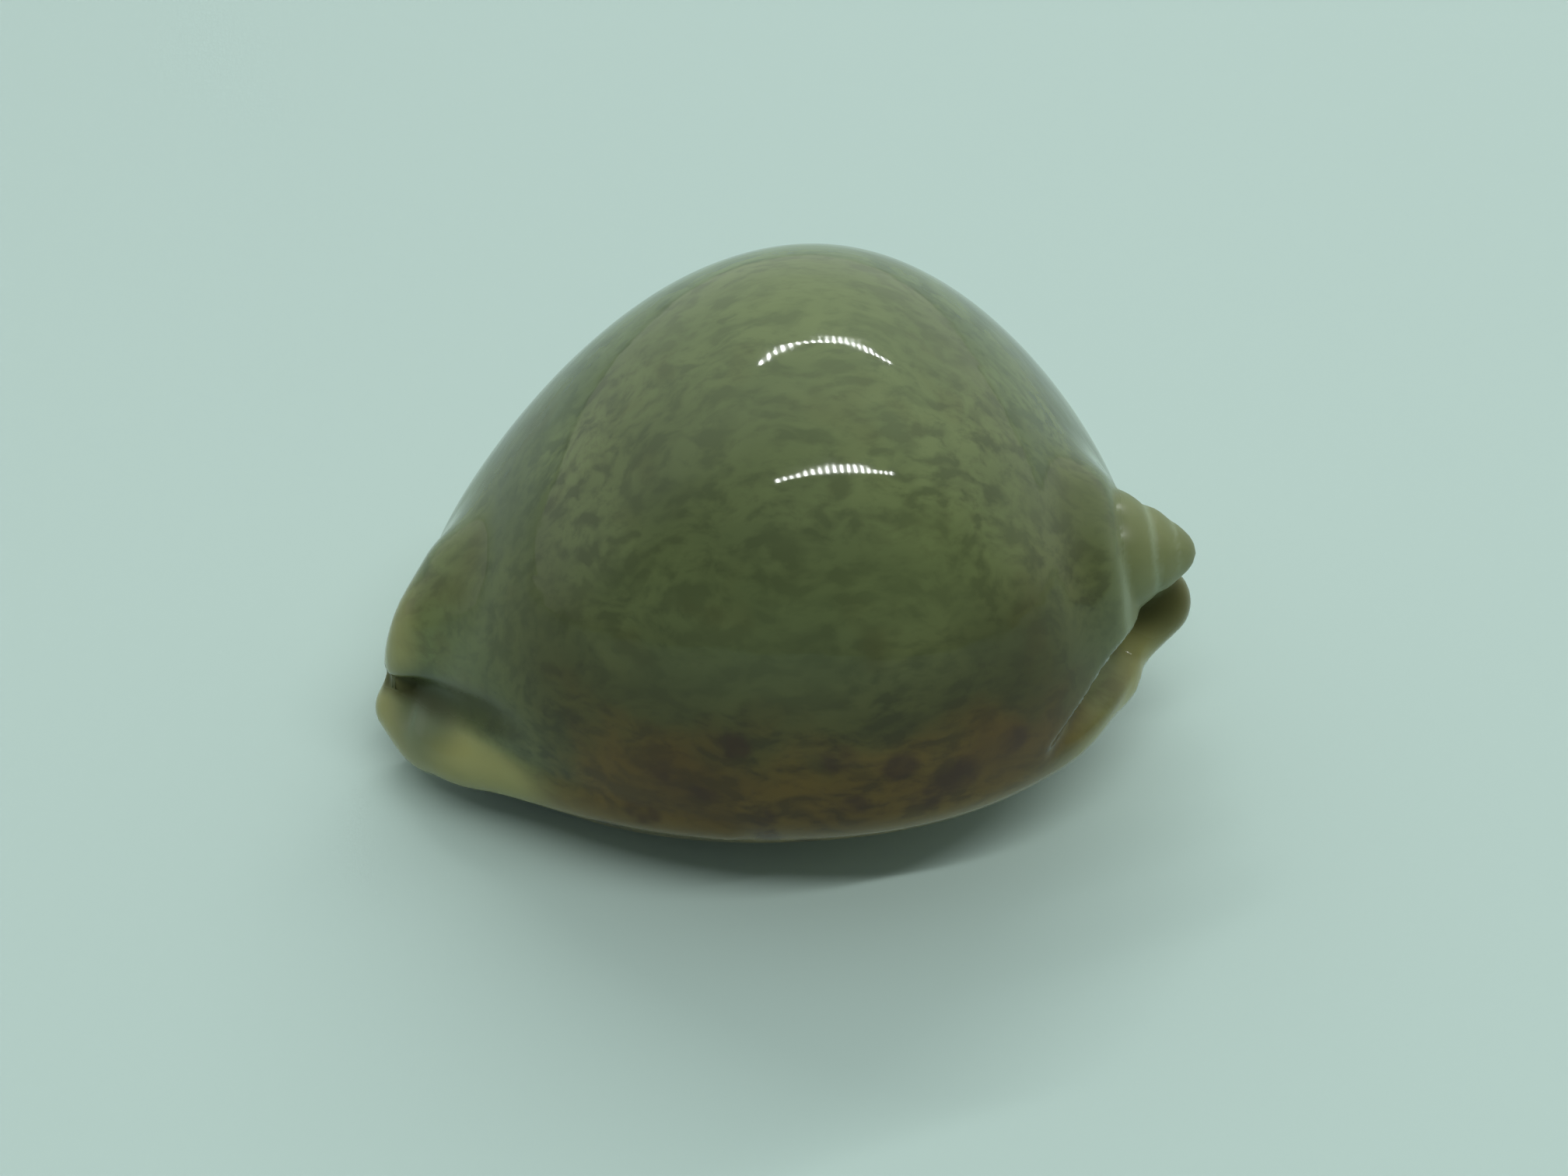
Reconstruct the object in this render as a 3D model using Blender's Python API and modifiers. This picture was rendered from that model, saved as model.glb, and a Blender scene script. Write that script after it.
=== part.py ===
"""A humped cowrie shell: one hollow piece with a long slit underneath.

The shell is described in its own frame, in millimetres: X runs from the front
end (negative) to the spire (positive), Y from the columella side (negative) to
the outer lip's side (positive), and Z from the base to the hump. It is then
tilted as it rests, cut to a small flat foot, and placed with the middle of its
box's underside at the origin.
"""
import math

import bmesh
import bpy
import numpy as np
from mathutils import Matrix, Vector

MM = 0.001

# Main body
FRONT_HALF = 32.1
NEAR_WIDTH = 25.04
FAR_WIDTH = 26.54
SIDE_CHANGE = 2.0
HUMP_HEIGHT = 28.60
BASE_DEPTH = 13.14
HUMP_TAPER = (0.204, -0.501, -0.131)
BASE_TAPER = (-0.369, 0.269)
NEAR_TAPER = (0.151, -0.062)
FAR_TAPER = (0.192, 0.121)
LENGTH_POWER = 2.098
SECTION_POWER = 2.182
END_SAG = -2.99
BODY_SLOPE = 0.93
TAPER_END = 1.1
TINY = 1e-6

# Rolls of thick shell along the margins, and a web under the spire: centre x, y, z and radius
FRONT_NEAR_ROLL = (
    (-33.2, -4.5, -5.6, 2.7), (-31.0, -7.8, -5.8, 3.0), (-29.0, -9.2, -4.9, 3.4),
    (-27.0, -10.7, -4.6, 3.4), (-24.0, -13.0, -3.7, 2.9), (-21.0, -15.1, -3.3, 2.4),
    (-17.0, -17.8, -2.9, 1.8), (-12.0, -20.4, -2.6, 1.2), (-6.0, -22.6, -2.4, 0.7),
)
FRONT_FAR_ROLL = (
    (-32.0, 3.2, -6.0, 3.1), (-30.0, 7.0, -6.0, 3.4), (-26.0, 11.5, -6.0, 3.4), (-21.0, 15.5, -6.0, 3.0),
    (-15.0, 19.3, -5.4, 2.3), (-8.0, 21.6, -4.6, 1.2),
)
BEAK = ((-31.6, -3.1, -1.4, 2.5), (-31.0, -3.2, 1.1, 2.5), (-29.2, -2.4, 3.3, 3.1), (-25.8, -0.8, 5.0, 4.3))
BACK_NEAR_ROLL = (
    (31.8, -5.5, -1.2, 3.4), (28.8, -8.7, -3.6, 2.1), (27.9, -11.6, -4.1, 1.6), (25.3, -14.0, -3.8, 1.4),
    (22.1, -17.1, -3.3, 1.8), (17.0, -20.0, -2.6, 1.4), (10.0, -22.6, -2.2, 0.7),
)
BACK_FAR_ROLL = (
    (31.7, 0.8, -2.0, 3.7), (29.9, 5.5, -4.5, 3.0), (27.0, 10.0, -5.4, 2.8), (22.0, 15.3, -5.4, 2.5),
    (14.0, 20.0, -4.6, 1.4),
)
WEB = ((31.6, -5.4, 2.0, 1.7), (30.0, -5.2, 2.0, 2.3), (28.0, -5.0, 2.0, 3.0))

# Level that the body's underside is flattened at, measured down in the pose at rest
BASE_LEVEL = 13.9

# Swelling of the base that the shell rests on: centre, half sizes
PAD_CENTRE = (8.0, 2.6, -9.0)
PAD_SIZE = (19.0, 14.0, 6.4)

# Furrows between the rolls and the hump: centre x, y, z and radius
FRONT_FURROW = (
    (-34.5, -3.9, -2.3, 0.5), (-33.0, -4.6, -2.0, 0.7), (-31.0, -7.5, -0.5, 1.0), (-28.5, -11.3, 1.7, 1.8),
    (-25.5, -15.3, 3.4, 2.4), (-22.8, -18.9, 4.9, 2.1), (-20.4, -21.2, 5.6, 1.0),
)
BACK_FURROW = (
    (35.0, -7.8, 0.8, 0.9), (32.0, -8.0, 1.0, 1.7), (29.5, -11.4, 0.8, 2.5), (27.0, -14.8, 1.2, 2.5),
    (24.0, -18.6, 0.8, 1.8), (21.5, -21.2, 0.3, 0.8),
)

# Spire: a blunt cone of whorls around its own axis
SPIRE_TIP = np.array((34.84, -7.09, 6.36))
SPIRE_AXIS = np.array((0.993, -0.130, 0.010)) / math.sqrt(0.993 ** 2 + 0.130 ** 2 + 0.010 ** 2)
SPIRE_DEPTH = 10.5
SPIRE_BLUNT = 1.47
SPIRE_FLARE = 0.24
FLARE_END = 6.5
WHORL_RATE = 1.61
TURN_START = 0.02
WHORL_BULGE = 0.30
WHORL_INSET = 0.20
WHORL_FADE = (1.9, 1.8)
CONE_SLOPE = 0.72
COLLAR_RADIUS = 4.6
COLLAR_DEPTH = 8.4
COLLAR_LEAN = 0.07
COLLAR_THICKNESS = 1.2

# Slit: where its two lips stand along the shell, and how high it cuts
LIP_AT = (-37.0, -34.0, -32.0, -28.7, -24.6, -19.0, -12.0, 0.0, 12.0, 22.0, 25.6, 29.5, 33.0, 37.0)
NEAR_LIP = (-1.9, -2.2, -4.6, -9.8, -12.0, -13.0, -11.6, -8.8, -7.6, -7.2, -6.3, -4.4, -3.2, -3.0)
FAR_LIP = (1.6, 1.6, 0.4, -3.4, -5.6, -7.0, -6.8, -5.2, -4.5, -4.2, -3.2, -1.2, -0.6, -0.5)
ROOF_AT = (-37.0, -33.0, -30.0, -26.0, -22.0, -18.0, 24.0, 30.0, 33.0, 37.0)
SLIT_ROOF = (-4.0, -4.0, -4.2, -3.6, 0.0, 2.0, 0.0, -3.0, -3.4, -3.4)
TOOTH_PITCH = 2.6
TOOTH_HEIGHT = 0.45
TEETH_FROM = -24.0
TEETH_TO = 24.0
TEETH_FADE = 3.0

# Hollow
HUMP_WALL = 2.4
LEAST_WALL = 1.7
BASE_EXTRA = 2.0
WALL_CHANGE_AT = -5.5
WALL_CHANGE_OVER = 1.2
HOLLOW_FRONT = -28.0
HOLLOW_BACK = 27.0

# Widths over which neighbouring shapes run into each other
BLEND_BEAK = 4.5
BLEND_COLLAR = 6.0
BLEND_BASE = 3.0
BLEND_PAD = 4.0
BLEND_FRONT_FURROW = 1.2
BLEND_BACK_FURROW = 1.0
BLEND_SPIRE = 0.35
BLEND_WEB = 1.5
BLEND_FRONT_NEAR = 2.0
BLEND_FAR = 1.8
BLEND_BACK_NEAR = 1.2
BLEND_HOLLOW = 1.5
BLEND_HOLLOW_ENDS = 3.0
BLEND_LEAST_WALL = 0.5
BLEND_SLIT_ROOF = 1.0
BLEND_TIP = 0.8
BLEND_SPIRE_BACK = 1.0
LIP_ROUNDING = 1.6

# Smoothing of the rolls, and how far off they still count
CHAIN_STEPS = 3
CHAIN_REACH = 7.0
STEEPEST_CONE = 0.9

# Pose at rest and foot
TILT_BACK_UP = math.radians(5.0)
ROLL = math.radians(5.7)
FOOT_DEPTH = 0.30

# Rough solids that the surface is then settled from
ROUGH_VOXEL = 1.0
BALL_SPACING = 2.0
BALL_SEGMENTS = 14
BALL_RINGS = 10
BODY_SEGMENTS = 96
BODY_RINGS = 64
SPIRE_BALL_STEP = 1.5
SPIRE_BALL_SHARE = 0.9
COLLAR_BALLS = 18
ROUGH_WALL = 4.0
SLIT_FROM = -38.0
SLIT_STEP = 1.5
SLIT_BOXES = 51
SLIT_BOX_LENGTH = 2.2
SLIT_BELOW = 20.0

# Mesh
VOXEL = 0.7
SETTLE_STEPS = 8
STEP_LIMIT = 0.45
PROBE = 0.02
LEAST_SLOPE = 0.1
TRIANGLES = 9400

SHELL_COLOUR = (0.225, 0.205, 0.135, 1.0)
SHELL_ROUGHNESS = 0.12


def soft_min(a, b, width):
    """The lower of two values, blended over a width."""
    h = np.clip(0.5 + 0.5 * (b - a) / width, 0.0, 1.0)
    return b + (a - b) * h - width * h * (1.0 - h)


def soft_max(a, b, width):
    """The higher of two values, blended over a width."""
    return -soft_min(-a, -b, width)


def taper(t, terms):
    """A size's factor along the shell, from the terms in its powers."""
    return 1.0 + sum(term * t ** (i + 1) for i, term in enumerate(terms))


def body_distance(x, y, z):
    """Distance to the humped body, about in millimetres and negative inside."""
    t = x / FRONT_HALF
    tc = np.clip(t, -TAPER_END, TAPER_END)
    height = z - END_SAG * tc * tc
    near = NEAR_WIDTH * taper(tc, NEAR_TAPER)
    far = FAR_WIDTH * taper(tc, FAR_TAPER)
    half_width = near + (far - near) * (0.5 + 0.5 * np.tanh(0.5 * y / SIDE_CHANGE))
    hump = HUMP_HEIGHT * taper(tc, HUMP_TAPER)
    half_height = np.where(height > 0.0, hump, BASE_DEPTH * taper(tc, BASE_TAPER))
    section = (np.abs(y) / half_width) ** SECTION_POWER + (np.abs(height) / half_height) ** SECTION_POWER
    section = section ** (1.0 / SECTION_POWER)
    reach = (np.abs(t) ** LENGTH_POWER + section ** LENGTH_POWER) ** (1.0 / LENGTH_POWER)
    radius = np.sqrt(x * x + y * y + height * height) + TINY
    return (reach - 1.0) * radius / np.maximum(reach, TINY) * BODY_SLOPE


def smooth_chain(balls):
    """The same chain with more balls, set between along a smooth curve."""
    balls = np.array(balls)
    row = np.vstack((2.0 * balls[0] - balls[1], balls, 2.0 * balls[-1] - balls[-2]))
    curve = []
    for before, first, second, after in zip(row[:-3], row[1:-2], row[2:-1], row[3:]):
        for i in range(CHAIN_STEPS):
            t = i / CHAIN_STEPS
            bend = 2.0 * before - 5.0 * first + 4.0 * second - after
            twist = 3.0 * first - before - 3.0 * second + after
            curve.append(first + 0.5 * t * (second - before + t * (bend + t * twist)))
    curve.append(balls[-1])
    return curve


def roll_distance(x, y, z, balls):
    """Distance to a smooth chain of balls joined by cones, worked out only where it is near."""
    curve = np.array(smooth_chain(balls))
    low = (curve[:, :3] - curve[:, 3:]).min(axis=0) - CHAIN_REACH
    high = (curve[:, :3] + curve[:, 3:]).max(axis=0) + CHAIN_REACH
    near = (x > low[0]) & (x < high[0]) & (y > low[1]) & (y < high[1]) & (z > low[2]) & (z < high[2])
    px, py, pz = x[near], y[near], z[near]
    nearest = np.full(px.shape, CHAIN_REACH)
    for (x0, y0, z0, r0), (x1, y1, z1, r1) in zip(curve[:-1], curve[1:]):
        dx, dy, dz = x1 - x0, y1 - y0, z1 - z0
        length = math.sqrt(dx * dx + dy * dy + dz * dz)
        growth = max(-STEEPEST_CONE, min(STEEPEST_CONE, (r1 - r0) / length))
        along = ((px - x0) * dx + (py - y0) * dy + (pz - z0) * dz) / length
        off = (px - x0) ** 2 + (py - y0) ** 2 + (pz - z0) ** 2 - along * along
        lean = np.sqrt(np.maximum(off, 0.0)) * growth / math.sqrt(1.0 - growth * growth)
        along = np.clip((along + lean) / length, 0.0, 1.0)
        gap = np.sqrt((px - x0 - along * dx) ** 2 + (py - y0 - along * dy) ** 2 + (pz - z0 - along * dz) ** 2)
        nearest = np.minimum(nearest, gap - (r0 + along * (r1 - r0)))
    distance = np.full(x.shape, CHAIN_REACH)
    distance[near] = nearest
    return distance


def spire_frame(x, y, z):
    """Depth below the tip, and the two offsets from the spire's axis."""
    side = np.cross(SPIRE_AXIS, (0.0, 0.0, 1.0))
    side = side / np.linalg.norm(side)
    up = np.cross(side, SPIRE_AXIS)
    dx, dy, dz = x - SPIRE_TIP[0], y - SPIRE_TIP[1], z - SPIRE_TIP[2]
    depth = -(dx * SPIRE_AXIS[0] + dy * SPIRE_AXIS[1] + dz * SPIRE_AXIS[2])
    across = dx * side[0] + dy * side[1] + dz * side[2]
    rise = dx * up[0] + dy * up[1] + dz * up[2]
    return depth, across, rise


def spire_radius(depth):
    """The blunt cone's radius at a depth below the tip."""
    shown = np.clip(depth, 0.0, FLARE_END)
    return SPIRE_BLUNT * np.sqrt(shown) + SPIRE_FLARE * shown


def whorl_part(depth, across, rise):
    """How far a point is from one seam of the spire (0) to the next (1)."""
    wound = WHORL_RATE * np.sqrt(np.maximum(depth, 0.0) + TURN_START)
    turn = wound - np.arctan2(rise, across) / (2.0 * math.pi)
    return turn - np.floor(turn)


def spire_distance(x, y, z):
    """Distance to the spire, whose whorls stand out between a winding seam."""
    depth, across, rise = spire_frame(x, y, z)
    radius = np.sqrt(across * across + rise * rise) + TINY
    part = whorl_part(depth, across, rise)
    step = WHORL_BULGE * 4.0 * part * (1.0 - part) - WHORL_INSET
    shown = np.clip((radius - WHORL_FADE[0]) / WHORL_FADE[1], 0.0, 1.0)
    step = step * shown * shown * (3.0 - 2.0 * shown)
    cone = (radius - spire_radius(depth) - step) * CONE_SLOPE
    return soft_max(soft_max(cone, -depth, BLEND_TIP), depth - SPIRE_DEPTH, BLEND_SPIRE_BACK)


def collar_distance(x, y, z):
    """Distance to the ring of shell that the spire comes out of."""
    depth, across, rise = spire_frame(x, y, z)
    radius = np.sqrt(across * across + rise * rise)
    below = depth - COLLAR_DEPTH - COLLAR_LEAN * rise
    return np.sqrt((radius - COLLAR_RADIUS) ** 2 + below ** 2) - COLLAR_THICKNESS


def pad_distance(x, y, z):
    """Distance to the swelling under the base, about in millimetres."""
    dx, dy, dz = ((v - c) / h for v, c, h in zip((x, y, z), PAD_CENTRE, PAD_SIZE))
    return (np.sqrt(dx * dx + dy * dy + dz * dz) - 1.0) * PAD_SIZE[2]


def rest_height(x, y, z):
    """Height above the shell's own origin in the pose at rest."""
    return x * math.sin(TILT_BACK_UP) + math.cos(TILT_BACK_UP) * (y * math.sin(ROLL) + z * math.cos(ROLL))


def levelled_body(x, y, z):
    """Distance to the body with its underside flattened."""
    return soft_max(body_distance(x, y, z), -BASE_LEVEL - rest_height(x, y, z), BLEND_BASE)


def outside_distance(x, y, z):
    """Distance to the shell as if it had no slit and no hollow."""
    d = levelled_body(x, y, z)
    d = soft_min(d, pad_distance(x, y, z), BLEND_PAD)
    d = soft_min(d, collar_distance(x, y, z), BLEND_COLLAR)
    d = soft_min(d, roll_distance(x, y, z, BEAK), BLEND_BEAK)
    d = soft_max(d, -roll_distance(x, y, z, FRONT_FURROW), BLEND_FRONT_FURROW)
    d = soft_max(d, -roll_distance(x, y, z, BACK_FURROW), BLEND_BACK_FURROW)
    d = soft_min(d, spire_distance(x, y, z), BLEND_SPIRE)
    d = soft_min(d, roll_distance(x, y, z, WEB), BLEND_WEB)
    d = soft_min(d, roll_distance(x, y, z, FRONT_NEAR_ROLL), BLEND_FRONT_NEAR)
    d = soft_min(d, roll_distance(x, y, z, FRONT_FAR_ROLL), BLEND_FAR)
    d = soft_min(d, roll_distance(x, y, z, BACK_NEAR_ROLL), BLEND_BACK_NEAR)
    return soft_min(d, roll_distance(x, y, z, BACK_FAR_ROLL), BLEND_FAR)


def slit_distance(x, y, z):
    """Distance to the slit's space, with short teeth along both lips."""
    near = np.interp(x, LIP_AT, NEAR_LIP)
    far = np.interp(x, LIP_AT, FAR_LIP)
    row = np.clip((x - TEETH_FROM) / TEETH_FADE, 0.0, 1.0) * np.clip((TEETH_TO - x) / TEETH_FADE, 0.0, 1.0)
    tooth = TOOTH_HEIGHT * row * (0.5 + 0.5 * np.cos(2.0 * math.pi * x / TOOTH_PITCH))
    middle = 0.5 * (near + far)
    half_width = 0.5 * (far - near) - tooth
    roof = np.interp(x, ROOF_AT, SLIT_ROOF)
    return soft_max(np.abs(y - middle) - half_width, z - roof, BLEND_SLIT_ROOF)


def hollow_distance(x, y, z):
    """Distance to the room inside, whose wall is thicker at the base."""
    wall = HUMP_WALL + BASE_EXTRA / (1.0 + np.exp((z - WALL_CHANGE_AT) / WALL_CHANGE_OVER))
    d = soft_max(levelled_body(x, y, z) + wall, x - HOLLOW_BACK, BLEND_HOLLOW_ENDS)
    return soft_max(d, HOLLOW_FRONT - x, BLEND_HOLLOW_ENDS)


def shell_distance(x, y, z):
    """Distance to the finished shell's surface."""
    outside = outside_distance(x, y, z)
    hollow = soft_max(hollow_distance(x, y, z), outside + LEAST_WALL, BLEND_LEAST_WALL)
    space = soft_min(slit_distance(x, y, z), hollow, BLEND_HOLLOW)
    return soft_max(outside, -space, LIP_ROUNDING)


def shift_onto(rule, points):
    """Moves points one limited step towards the surface where a rule is zero."""
    x, y, z = points.T
    value = rule(x, y, z)
    slope = np.stack([
        rule(x + PROBE, y, z) - rule(x - PROBE, y, z),
        rule(x, y + PROBE, z) - rule(x, y - PROBE, z),
        rule(x, y, z + PROBE) - rule(x, y, z - PROBE),
    ], axis=1) / (2.0 * PROBE)
    step = -(value / np.maximum((slope * slope).sum(axis=1), LEAST_SLOPE ** 2))[:, None] * slope
    length = np.linalg.norm(step, axis=1, keepdims=True)
    return points + step * np.minimum(1.0, STEP_LIMIT / np.maximum(length, TINY))


def settle(mesh, rule):
    """Pulls a mesh's vertices onto the surface where a rule is zero."""
    points = np.empty(len(mesh.vertices) * 3)
    mesh.vertices.foreach_get("co", points)
    points = points.reshape(-1, 3) / MM
    for _ in range(SETTLE_STEPS):
        points = shift_onto(rule, points)
    mesh.vertices.foreach_set("co", (points * MM).ravel())
    mesh.update()


def object_from_bmesh(name, bm, collection):
    """A new object in a collection, from a bmesh that is freed."""
    mesh = bpy.data.meshes.new(name)
    bm.to_mesh(mesh)
    bm.free()
    obj = bpy.data.objects.new(name, mesh)
    collection.objects.link(obj)
    return obj


def apply_modifiers(obj):
    """Replaces an object's mesh by what its modifiers make of it."""
    old = obj.data
    mesh = bpy.data.meshes.new_from_object(obj.evaluated_get(bpy.context.evaluated_depsgraph_get()))
    obj.modifiers.clear()
    obj.data = mesh
    bpy.data.meshes.remove(old)


def remesh(obj, voxel):
    """Fuses an object's closed shapes into one skin of even quads."""
    modifier = obj.modifiers.new("skin", "REMESH")
    modifier.mode = "VOXEL"
    modifier.voxel_size = voxel * MM
    apply_modifiers(obj)


def add_ball(bm, centre, radius):
    """Adds a ball to a bmesh."""
    place = Matrix.Translation(Vector(centre) * MM)
    bmesh.ops.create_uvsphere(
        bm, u_segments=BALL_SEGMENTS, v_segments=BALL_RINGS, radius=radius * MM, matrix=place)


def add_roll(bm, balls):
    """Adds a row of overlapping balls along a chain."""
    for first, second in zip(balls[:-1], balls[1:]):
        first, second = np.array(first), np.array(second)
        count = max(1, int(np.linalg.norm(second[:3] - first[:3]) / BALL_SPACING))
        for i in range(count + 1):
            ball = first + (second - first) * i / count
            add_ball(bm, ball[:3], ball[3])


def add_body(bm, wall):
    """Adds a sphere shaped into the body, set in by a wall thickness."""
    sphere = bmesh.ops.create_uvsphere(bm, u_segments=BODY_SEGMENTS, v_segments=BODY_RINGS, radius=1.0)
    for vert in sphere["verts"]:
        x, y, z = vert.co
        t = max(-1.0, min(1.0, x))
        section = (1.0 - abs(t) ** LENGTH_POWER) ** (1.0 / LENGTH_POWER)
        around = math.atan2(z, y)
        half_height = HUMP_HEIGHT * taper(t, HUMP_TAPER) if z > 0.0 else BASE_DEPTH * taper(t, BASE_TAPER)
        half_width = FAR_WIDTH * taper(t, FAR_TAPER) if y > 0.0 else NEAR_WIDTH * taper(t, NEAR_TAPER)
        width = (half_width - wall) * section * math.cos(around)
        height = (half_height - wall) * section * math.sin(around) + END_SAG * t * t
        place = Vector((t * (FRONT_HALF - wall), width, height))
        place.z += max(0.0, wall - BASE_LEVEL - rest_height(*place))
        vert.co = place * MM


def add_collar(bm):
    """Adds a ring of balls around the spire."""
    side = np.cross(SPIRE_AXIS, (0.0, 0.0, 1.0))
    side = side / np.linalg.norm(side)
    up = np.cross(side, SPIRE_AXIS)
    for i in range(COLLAR_BALLS):
        angle = 2.0 * math.pi * i / COLLAR_BALLS
        rise = COLLAR_RADIUS * math.sin(angle)
        depth = COLLAR_DEPTH + COLLAR_LEAN * rise
        centre = SPIRE_TIP - SPIRE_AXIS * depth + side * COLLAR_RADIUS * math.cos(angle) + up * rise
        add_ball(bm, centre, COLLAR_THICKNESS)


def add_pad(bm):
    """Adds the swelling under the base."""
    size = Matrix.Diagonal((*PAD_SIZE, 1.0 / MM)) * MM
    place = Matrix.Translation(Vector(PAD_CENTRE) * MM)
    bmesh.ops.create_uvsphere(
        bm, u_segments=BODY_SEGMENTS, v_segments=BODY_RINGS, radius=1.0, matrix=place @ size)


def rough_outside(collection):
    """The body, its rolls, its collar, its spire and its pad as one rough solid."""
    bm = bmesh.new()
    add_body(bm, 0.0)
    for balls in (FRONT_NEAR_ROLL, FRONT_FAR_ROLL, BEAK, BACK_NEAR_ROLL, BACK_FAR_ROLL, WEB):
        add_roll(bm, balls)
    for depth in np.arange(SPIRE_BALL_STEP, SPIRE_DEPTH, SPIRE_BALL_STEP):
        add_ball(bm, SPIRE_TIP - SPIRE_AXIS * depth, SPIRE_BALL_SHARE * float(spire_radius(depth)))
    add_collar(bm)
    add_pad(bm)
    obj = object_from_bmesh("cowrie_shell", bm, collection)
    remesh(obj, ROUGH_VOXEL)
    return obj


def rough_space(collection):
    """The hollow and the slit as one cutter."""
    bm = bmesh.new()
    add_body(bm, ROUGH_WALL)
    for i in range(SLIT_BOXES):
        x = SLIT_FROM + SLIT_STEP * i
        near = float(np.interp(x, LIP_AT, NEAR_LIP))
        far = float(np.interp(x, LIP_AT, FAR_LIP))
        roof = float(np.interp(x, ROOF_AT, SLIT_ROOF))
        size = Matrix.Diagonal((SLIT_BOX_LENGTH * MM, (far - near) * MM, (roof + SLIT_BELOW) * MM, 1.0))
        place = Matrix.Translation(Vector((x, (near + far) / 2.0, (roof - SLIT_BELOW) / 2.0)) * MM)
        bmesh.ops.create_cube(bm, size=1.0, matrix=place @ size)
    obj = object_from_bmesh("hollow_and_slit", bm, collection)
    remesh(obj, ROUGH_VOXEL)
    obj.hide_render = True
    obj.display_type = "WIRE"
    return obj


def cut(obj, cutter):
    """Takes the cutter's volume out of an object."""
    modifier = obj.modifiers.new("space", "BOOLEAN")
    modifier.operation = "DIFFERENCE"
    modifier.solver = "EXACT"
    modifier.object = cutter
    apply_modifiers(obj)


def thin_out(obj):
    """Brings the mesh down to its number of triangles."""
    quads = len(obj.data.polygons)
    modifier = obj.modifiers.new("fewer", "DECIMATE")
    modifier.ratio = TRIANGLES / (2.0 * quads)
    apply_modifiers(obj)


def tilt(mesh):
    """Turns the mesh as the shell rests, and stands it on z = 0."""
    mesh.transform(Matrix.Rotation(-TILT_BACK_UP, 4, "Y") @ Matrix.Rotation(ROLL, 4, "X"))
    lowest = min(vert.co.z for vert in mesh.vertices)
    mesh.transform(Matrix.Translation((0.0, 0.0, -lowest)))


def flatten_foot(mesh):
    """Cuts the lowest part off level, which leaves a small flat foot."""
    bm = bmesh.new()
    bm.from_mesh(mesh)
    geometry = bm.verts[:] + bm.edges[:] + bm.faces[:]
    level = (0.0, 0.0, FOOT_DEPTH * MM)
    bmesh.ops.bisect_plane(bm, geom=geometry, plane_co=level, plane_no=(0.0, 0.0, 1.0), clear_inner=True)
    rim = [edge for edge in bm.edges if edge.is_boundary]
    bmesh.ops.contextual_create(bm, geom=rim)
    bmesh.ops.triangulate(bm, faces=bm.faces[:])
    bmesh.ops.recalc_face_normals(bm, faces=bm.faces[:])
    bm.to_mesh(mesh)
    bm.free()


def centre_on_foot(mesh):
    """Puts the middle of the box's underside at the origin."""
    points = np.array([vert.co for vert in mesh.vertices])
    low, high = points.min(axis=0), points.max(axis=0)
    mesh.transform(Matrix.Translation((-(low[0] + high[0]) / 2.0, -(low[1] + high[1]) / 2.0, -low[2])))


def shell_material():
    """The glossy olive-grey of the shell."""
    material = bpy.data.materials.new("cowrie_glaze")
    material.use_nodes = True
    shader = material.node_tree.nodes["Principled BSDF"]
    shader.inputs["Base Color"].default_value = SHELL_COLOUR
    shader.inputs["Roughness"].default_value = SHELL_ROUGHNESS
    shader.inputs["Metallic"].default_value = 0.0
    return material


def new_collection(name):
    """A collection in the scene."""
    collection = bpy.data.collections.new(name)
    bpy.context.scene.collection.children.link(collection)
    return collection


def build():
    """Makes the shell."""
    for obj in list(bpy.data.objects):
        bpy.data.objects.remove(obj)
    shell = rough_outside(new_collection("cowrie"))
    settle(shell.data, outside_distance)
    space = rough_space(new_collection("cutters"))
    cut(shell, space)
    remesh(shell, VOXEL)
    settle(shell.data, shell_distance)
    remesh(shell, VOXEL)
    settle(shell.data, shell_distance)
    thin_out(shell)
    tilt(shell.data)
    flatten_foot(shell.data)
    centre_on_foot(shell.data)
    shell.data.shade_smooth()
    shell.data.materials.append(shell_material())


build()
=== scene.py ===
import math

import bpy
import numpy as np
from mathutils import Matrix, Vector


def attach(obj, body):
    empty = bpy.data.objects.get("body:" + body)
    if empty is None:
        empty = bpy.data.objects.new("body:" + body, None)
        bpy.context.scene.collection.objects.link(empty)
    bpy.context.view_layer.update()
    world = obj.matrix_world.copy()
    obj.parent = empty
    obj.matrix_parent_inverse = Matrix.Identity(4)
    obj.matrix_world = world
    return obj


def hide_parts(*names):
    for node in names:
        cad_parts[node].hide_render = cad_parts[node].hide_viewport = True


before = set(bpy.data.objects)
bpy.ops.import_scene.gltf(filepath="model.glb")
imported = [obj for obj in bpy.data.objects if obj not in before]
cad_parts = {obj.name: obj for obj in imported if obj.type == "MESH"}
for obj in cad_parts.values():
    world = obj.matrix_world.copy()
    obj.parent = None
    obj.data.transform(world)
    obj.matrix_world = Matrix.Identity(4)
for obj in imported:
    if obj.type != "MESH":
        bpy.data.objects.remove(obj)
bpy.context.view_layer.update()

MM = 0.001

# The shell's own frame, in millimetres, as the part's source has it. X runs from
# the front end (negative) to the spire, Y from the columella side (negative) to
# the outer lip's side, and Z from the base to the hump.

# Main body
FRONT_HALF = 32.1
NEAR_WIDTH = 25.04
FAR_WIDTH = 26.54
SIDE_CHANGE = 2.0
HUMP_HEIGHT = 28.60
BASE_DEPTH = 13.14
HUMP_TAPER = (0.204, -0.501, -0.131)
BASE_TAPER = (-0.369, 0.269)
NEAR_TAPER = (0.151, -0.062)
FAR_TAPER = (0.192, 0.121)
LENGTH_POWER = 2.098
SECTION_POWER = 2.182
END_SAG = -2.99
BODY_SLOPE = 0.93
TAPER_END = 1.1
TINY = 1e-6

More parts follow.
